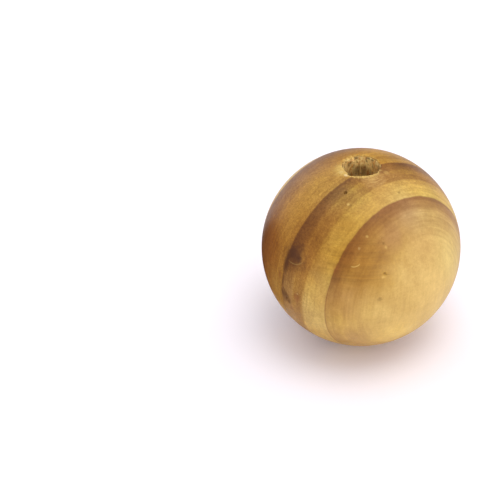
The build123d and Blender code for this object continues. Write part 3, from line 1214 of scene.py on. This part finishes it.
stretch = random_between(growth, "FLOAT", SHORTEST, 1.0, LENGTH_SEED)
thinning = random_between(growth, "FLOAT", THINNEST, 1.0, GIRTH_SEED)
tilt = random_between(growth, "FLOAT_VECTOR", (-1, -1, -ANY_TURN), (1, 1, ANY_TURN), LEAN_SEED)
girth = times(growth, growth_in.outputs["Root radius"], thinning)
width = times(growth, girth, SLIVER_FLATNESS)
length = times(growth, growth_in.outputs["Length"], stretch)
stand = add_node(growth, "GeometryNodeInstanceOnPoints", {
    "Points": points.outputs["Points"],
    "Instance": sliver.outputs["Mesh"],
    "Rotation": vectors(growth, "SCALE", tilt, growth_in.outputs["Lean"]),
    "Scale": vector_of(growth, girth, width, length),
})
solid = add_node(growth, "GeometryNodeRealizeInstances", {"Geometry": stand.outputs[0]})
finished = add_node(growth, "GeometryNodeSetMaterial", {"Geometry": solid.outputs[0]})
finished.inputs["Material"].default_value = straw
growth.links.new(finished.outputs[0], growth_out.inputs[0])

fibres = add_object("torn_fibres", bead.data.copy())
apply_tree(fibres, growth, FIBRE_INPUTS)
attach(fibres, "root")

# %% [markdown]
# ## The floor
#
# The bead stands on a white surface that is brighter than the bead can be lit. The floor is an ordinary
# matt white for the light it throws back at the bead, and only what the camera sees of it is lifted to full
# white, so the bead's own shadow stays on it.

# %% Lay the floor
FLOOR_SIZE = 1.6
FLOOR_COLOUR = (0.94, 0.93, 0.92, 1.0)
FLOOR_SEEN_COLOUR = (1.04, 1.00, 1.08, 1.0)


def matt_material(name):
    """A material with one matt shader, and the socket for its colour."""
    material, matt_tree = new_material(name)
    matt = add_node(matt_tree, "ShaderNodeBsdfDiffuse")
    add_node(matt_tree, "ShaderNodeOutputMaterial", {"Surface": matt.outputs[0]})
    return material, matt.inputs["Color"]


half = FLOOR_SIZE / 2
floor_corners = [(x, y, bead_low.z) for x, y in ((-half, -half), (half, -half), (half, half), (-half, half))]
floor_mesh = bpy.data.meshes.new("floor")
floor_mesh.from_pydata(floor_corners, [], [(0, 1, 2, 3)])
floor = add_object("floor", floor_mesh)

paper, paper_colour = matt_material("white_surface")
paper_tree = paper.node_tree
seen = add_node(paper_tree, "ShaderNodeLightPath").outputs["Is Camera Ray"]
set_socket(paper_tree, paper_colour, mix(paper_tree, seen, FLOOR_COLOUR, FLOOR_SEEN_COLOUR))
floor.data.materials.append(paper)

# %% [markdown]
# ## The light all round
#
# The photo's light is bright and nearly shadowless, so most of it comes from a pale world. An even world
# would make the ball look flat, so it is dimmer in three places: high in front, which keeps the pale face
# from washing out, on the left, and low at the back, where it would only glare on the bead's upper edge.
# The camera sees the world as plain white.

# %% Light the world
WORLD_STRENGTH = 1.23
DIM_PLACES = [  # direction, share of the light that is missing there, cosines where it starts and is full
    (Vector((0.0, -0.80, 0.59)), 0.40, 0.20, 0.90),  # high in front
    (Vector((-1.0, -0.20, 0.0)), 0.40, 0.25, 0.95),  # on the left
    (Vector((0.14, 1.0, 0.12)), 0.85, 0.80, 0.96),  # low at the back
]

world = bpy.data.worlds.new("studio")
world.use_nodes = True
sky_tree = world.node_tree
sky_tree.nodes.clear()
towards = add_node(sky_tree, "ShaderNodeTexCoord").outputs["Generated"]
lighting = WORLD_STRENGTH
for direction, missing, outer, inner in DIM_PLACES:
    facing = vectors(sky_tree, "DOT_PRODUCT", towards, direction.normalized())
    lighting = times(sky_tree, lighting, ease(sky_tree, facing, outer, inner, 1.0, 1.0 - missing))
seen = add_node(sky_tree, "ShaderNodeLightPath").outputs["Is Camera Ray"]
strength = plus(sky_tree, seen, times(sky_tree, lighting, minus(sky_tree, 1.0, seen)))
sky = add_node(sky_tree, "ShaderNodeBackground", {"Color": (1, 1, 1, 1), "Strength": strength})
add_node(sky_tree, "ShaderNodeOutputWorld", {"Surface": sky.outputs[0]})
bpy.context.scene.world = world

# %% [markdown]
# ## Two soft lamps
#
# Two round lamps give the rest of the light its direction. One hangs over the bead and gives it the soft
# shadow round its foot. The other stands low in front on the right and lifts the pale face, which bulges
# towards it.

# %% Hang the lamps
LAMPS = [  # name, place and size in metres, power in watts
    ("overhead", (0.08, -0.08, 0.43), 0.26, 0.44),
    ("low_front", (0.22, -0.36, 0.07), 0.20, 0.46),
]

for name, lamp_place, size, power in LAMPS:
    lamp_data = bpy.data.lights.new(name, "AREA")
    lamp_data.shape = "DISK"
    lamp_data.size = size
    lamp_data.energy = power
    lamp = add_object(name, lamp_data)
    lamp.location = lamp_place
    lamp.rotation_euler = (-Vector(lamp_place)).to_track_quat("-Z", "Y").to_euler()
print(f"{len(LAMPS)} lamps")

# %% [markdown]
# ## A flag on the left
#
# In so much white light a round thing loses one of its edges. A studio then puts a dark card, a flag, close
# to that side, and the edge turns deep and warm. Here it is a brown ball beside the bead. Only mirror-like
# rays from the bead can meet it, so it is never seen, casts no shadow and takes no light from the floor.

# %% Set the flag
FLAG_RADIUS = 17.0 * MM
FLAG_PLACE = (-32.2 * MM, -2.0 * MM, -7.0 * MM)
FLAG_COLOUR = (0.40, 0.27, 0.15, 1.0)
FLAG_SEGMENTS = 48

flag_mesh = bpy.data.meshes.new("flag")
flag_shape = bmesh.new()
bmesh.ops.create_uvsphere(
    flag_shape,
    u_segments=FLAG_SEGMENTS,
    v_segments=FLAG_SEGMENTS // 2,
    radius=FLAG_RADIUS,
)
flag_shape.to_mesh(flag_mesh)
flag_shape.free()
flag = add_object("flag", flag_mesh)
flag.location = FLAG_PLACE
flag.visible_camera = False
flag.visible_diffuse = False
flag.visible_shadow = False

felt, felt_colour = matt_material("brown_felt")
felt_colour.default_value = FLAG_COLOUR
flag.data.materials.append(felt)

# %% [markdown]
# ## Colours as they are written
#
# Blender's usual view transform bends bright colours towards the look of film, which would dull a white
# floor. The Standard transform shows a colour about as it is written, which is what a picture of a product
# needs.

# %% Set the view transform
bpy.context.scene.view_settings.view_transform = "Standard"
